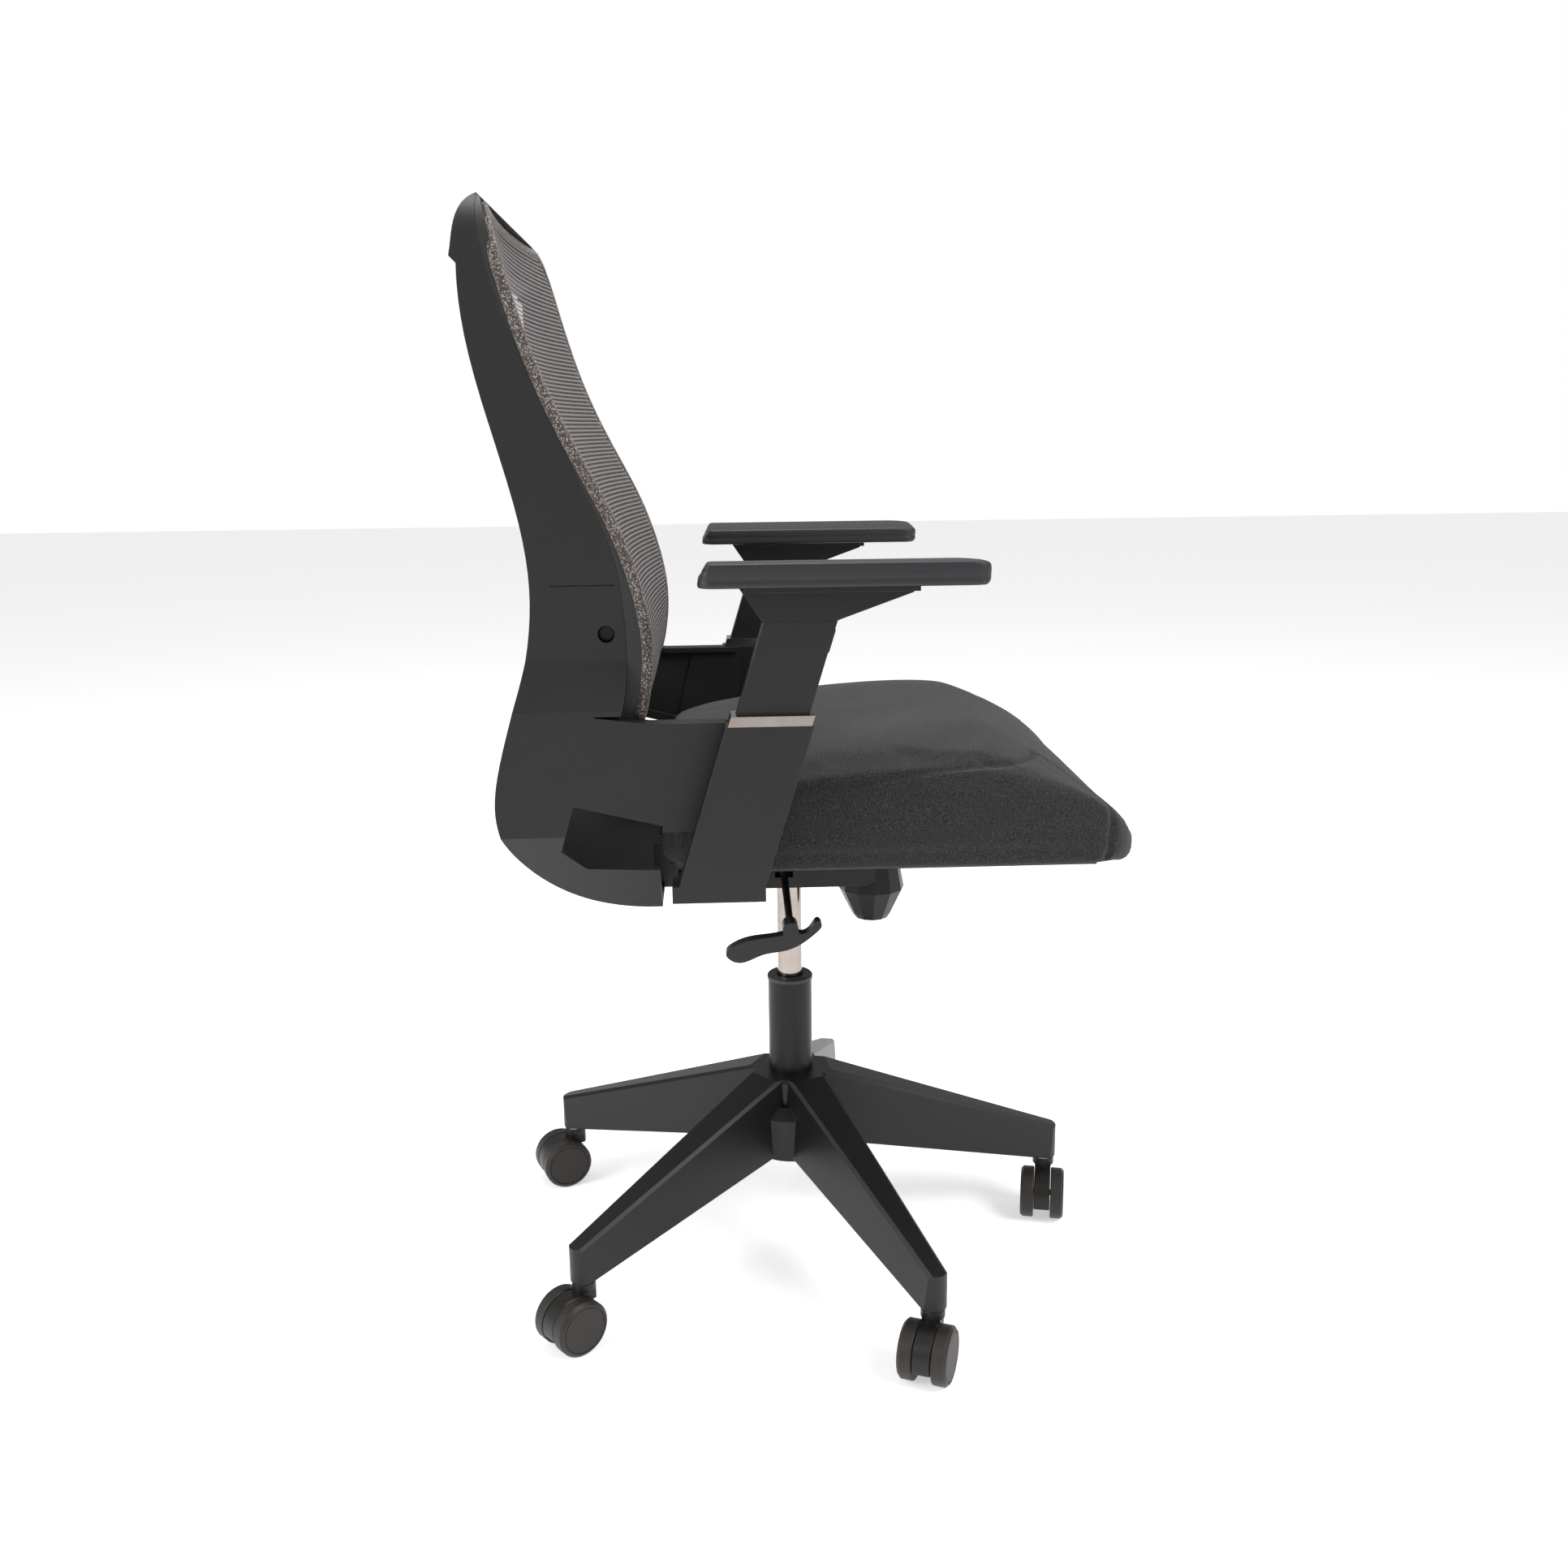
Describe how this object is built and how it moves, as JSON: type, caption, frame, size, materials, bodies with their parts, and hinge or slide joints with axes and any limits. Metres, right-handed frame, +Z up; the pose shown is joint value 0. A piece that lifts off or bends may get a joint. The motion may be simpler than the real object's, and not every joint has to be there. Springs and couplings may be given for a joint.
{
  "type": "swivel office chair",
  "caption": "Black swivel office chair with a mesh back in a moulded frame, padded fabric seat, height-adjustable arms, gas lift, tilt mechanism and a five-star base on twin-wheel casters.",
  "frame": {"origin": "on the floor, on the axis of the gas lift column", "axes": "+Z up along the column, the sitter looks along -Y, +X is the sitter's left"},
  "size_m": [0.6642, 0.6786, 1.1444],
  "materials": {
    "nylon_black": "fine-grained black moulded nylon",
    "caster_nylon": "satin black nylon",
    "steel_polished": "polished chrome",
    "steel_plain": "zinc-plated steel",
    "steel_painted": "black powder coat",
    "guide_grey": "grey bearing plastic",
    "seal_rubber": "black nitrile",
    "pan_wood": "moulded plywood under black lining",
    "seat_fabric": "charcoal woven fabric",
    "mesh_fabric": "ribbed elastic mesh",
    "carrier_grey": "satin grey plastic",
    "pad_skin": "soft polyurethane skin"
  },
  "bodies": {
    "base": {"five_star_base": "nylon_black", "column_outer_tube": "steel_painted", "guide_bushing": "guide_grey", "column_collar": "guide_grey", "thrust_bearing": "steel_plain"},
    "piston": {"piston_rod": "steel_plain", "rod_clip": "steel_plain"},
    "lift": {"pressure_tube": "steel_polished", "rod_seal": "seal_rubber", "mechanism_housing": "steel_painted", "tension_spring": "steel_plain"},
    "gas_valve": {"valve_pin": "steel_plain"},
    "seat": {"seat_plate": "steel_painted", "pivot_pin": "steel_plain", "tension_bolt": "steel_plain", "seat_pan": "pan_wood", "seat_cushion": "seat_fabric", "seat_plate_screws": "steel_plain", "back_frame": "nylon_black", "mesh_carrier": "carrier_grey", "mesh_panel": "mesh_fabric", "back_screws": "steel_plain", "arm_sleeve_right": "nylon_black", "arm_sleeve_left": "nylon_black", "sleeve_band_right": "steel_polished", "sleeve_band_left": "steel_polished", "arm_bolts": "steel_plain"},
    "knob": {"tension_knob": "nylon_black"},
    "lever_slide": {"lever_carrier": "nylon_black"},
    "lever": {"lever_rod": "steel_painted", "lever_paddle": "nylon_black"},
    "arm_right": {"arm_upright_right": "nylon_black", "pad_bracket_right": "nylon_black", "arm_pad_right": "pad_skin"},
    "button_right": {"arm_button_right": "nylon_black"},
    "arm_left": {"arm_upright_left": "nylon_black", "pad_bracket_left": "nylon_black", "arm_pad_left": "pad_skin"},
    "button_left": {"arm_button_left": "nylon_black"},
    "caster_1": {"caster_1_stem": "steel_plain", "caster_1_hood": "caster_nylon"},
    "wheels_1": {"caster_1_axle": "steel_plain", "caster_1_wheels": "caster_nylon"},
    "caster_2": {"caster_2_stem": "steel_plain", "caster_2_hood": "caster_nylon"},
    "wheels_2": {"caster_2_axle": "steel_plain", "caster_2_wheels": "caster_nylon"},
    "caster_3": {"caster_3_stem": "steel_plain", "caster_3_hood": "caster_nylon"},
    "wheels_3": {"caster_3_axle": "steel_plain", "caster_3_wheels": "caster_nylon"},
    "caster_4": {"caster_4_stem": "steel_plain", "caster_4_hood": "caster_nylon"},
    "wheels_4": {"caster_4_axle": "steel_plain", "caster_4_wheels": "caster_nylon"},
    "caster_5": {"caster_5_stem": "steel_plain", "caster_5_hood": "caster_nylon"},
    "wheels_5": {"caster_5_axle": "steel_plain", "caster_5_wheels": "caster_nylon"}
  },
  "joints": [
    {"name": "seat_swivel", "type": "hinge", "parent": "base", "child": "piston", "pos_m": [0, 0, 0.2], "axis": [0, 0, 1], "continuous": true},
    {"name": "seat_height", "type": "slide", "parent": "piston", "child": "lift", "axis": [0, 0, 1], "range_m": [-0.1, 0]},
    {"name": "valve_press", "type": "slide", "parent": "lift", "child": "gas_valve", "axis": [0, 0, 1], "range_m": [-0.0042, 0], "stiffness_N_per_m": 400},
    {"name": "seat_tilt", "type": "hinge", "parent": "lift", "child": "seat", "pos_m": [0, -0.042, 0.466], "axis": [-1, 0, 0], "range_deg": [0, 12], "stiffness_Nm_per_rad": 120, "springref_deg": -22.92, "deforming": ["tension_spring"]},
    {"name": "tension_turn", "type": "hinge", "parent": "seat", "child": "knob", "pos_m": [0, -0.094, 0.427], "axis": [0, 0, 1], "continuous": true},
    {"name": "lever_pull", "type": "slide", "parent": "lift", "child": "lever_slide", "axis": [-1, 0, 0], "range_m": [0, 0.008]},
    {"name": "lever_lift", "type": "hinge", "parent": "lever_slide", "child": "lever", "pos_m": [-0.035, 0.008, 0.468], "axis": [0, 1, 0], "range_deg": [0, 6], "stiffness_Nm_per_rad": 3, "springref_deg": -8.59},
    {"name": "arm_height_right", "type": "slide", "parent": "seat", "child": "arm_right", "axis": [0, -0.2924, 0.9563], "range_m": [-0.056, 0]},
    {"name": "arm_release_right", "type": "slide", "parent": "arm_right", "child": "button_right", "axis": [0, 0.9563, 0.2924], "range_m": [0, 0.0015], "stiffness_N_per_m": 300},
    {"name": "arm_height_left", "type": "slide", "parent": "seat", "child": "arm_left", "axis": [0, -0.2924, 0.9563], "range_m": [-0.056, 0]},
    {"name": "arm_release_left", "type": "slide", "parent": "arm_left", "child": "button_left", "axis": [0, 0.9563, 0.2924], "range_m": [0, 0.0015], "stiffness_N_per_m": 300},
    {"name": "caster_swivel_1", "type": "hinge", "parent": "base", "child": "caster_1", "pos_m": [-0.28291, -0.12893, 0.072], "axis": [0, 0, 1], "continuous": true},
    {"name": "wheel_roll_1", "type": "hinge", "parent": "caster_1", "child": "wheels_1", "pos_m": [-0.29948, -0.1219, 0.03], "axis": [-0.3907, -0.9205, 0], "continuous": true},
    {"name": "caster_swivel_2", "type": "hinge", "parent": "base", "child": "caster_2", "pos_m": [0.03519, -0.3089, 0.072], "axis": [0, 0, 1], "continuous": true},
    {"name": "wheel_roll_2", "type": "hinge", "parent": "caster_2", "child": "wheels_2", "pos_m": [0.01766, -0.30485, 0.03], "axis": [-0.225, -0.9744, 0], "continuous": true},
    {"name": "caster_swivel_3", "type": "hinge", "parent": "base", "child": "caster_3", "pos_m": [0.30466, -0.06198, 0.072], "axis": [0, 0, 1], "continuous": true},
    {"name": "wheel_roll_3", "type": "hinge", "parent": "caster_3", "child": "wheels_3", "pos_m": [0.29087, -0.05041, 0.03], "axis": [-0.6428, -0.766, 0], "continuous": true},
    {"name": "caster_swivel_4", "type": "hinge", "parent": "base", "child": "caster_4", "pos_m": [0.15309, 0.27059, 0.072], "axis": [0, 0, 1], "continuous": true},
    {"name": "wheel_roll_4", "type": "hinge", "parent": "caster_4", "child": "wheels_4", "pos_m": [0.14606, 0.28716, 0.03], "axis": [-0.9205, -0.3907, 0], "continuous": true},
    {"name": "caster_swivel_5", "type": "hinge", "parent": "base", "child": "caster_5", "pos_m": [-0.21004, 0.22922, 0.072], "axis": [0, 0, 1], "continuous": true},
    {"name": "wheel_roll_5", "type": "hinge", "parent": "caster_5", "child": "wheels_5", "pos_m": [-0.22154, 0.24307, 0.03], "axis": [-0.7694, -0.6388, 0], "continuous": true}
  ],
  "couplings": [
    {"joint": "valve_press", "follows": "lever_lift", "m_per_rad": -0.04}
  ]
}
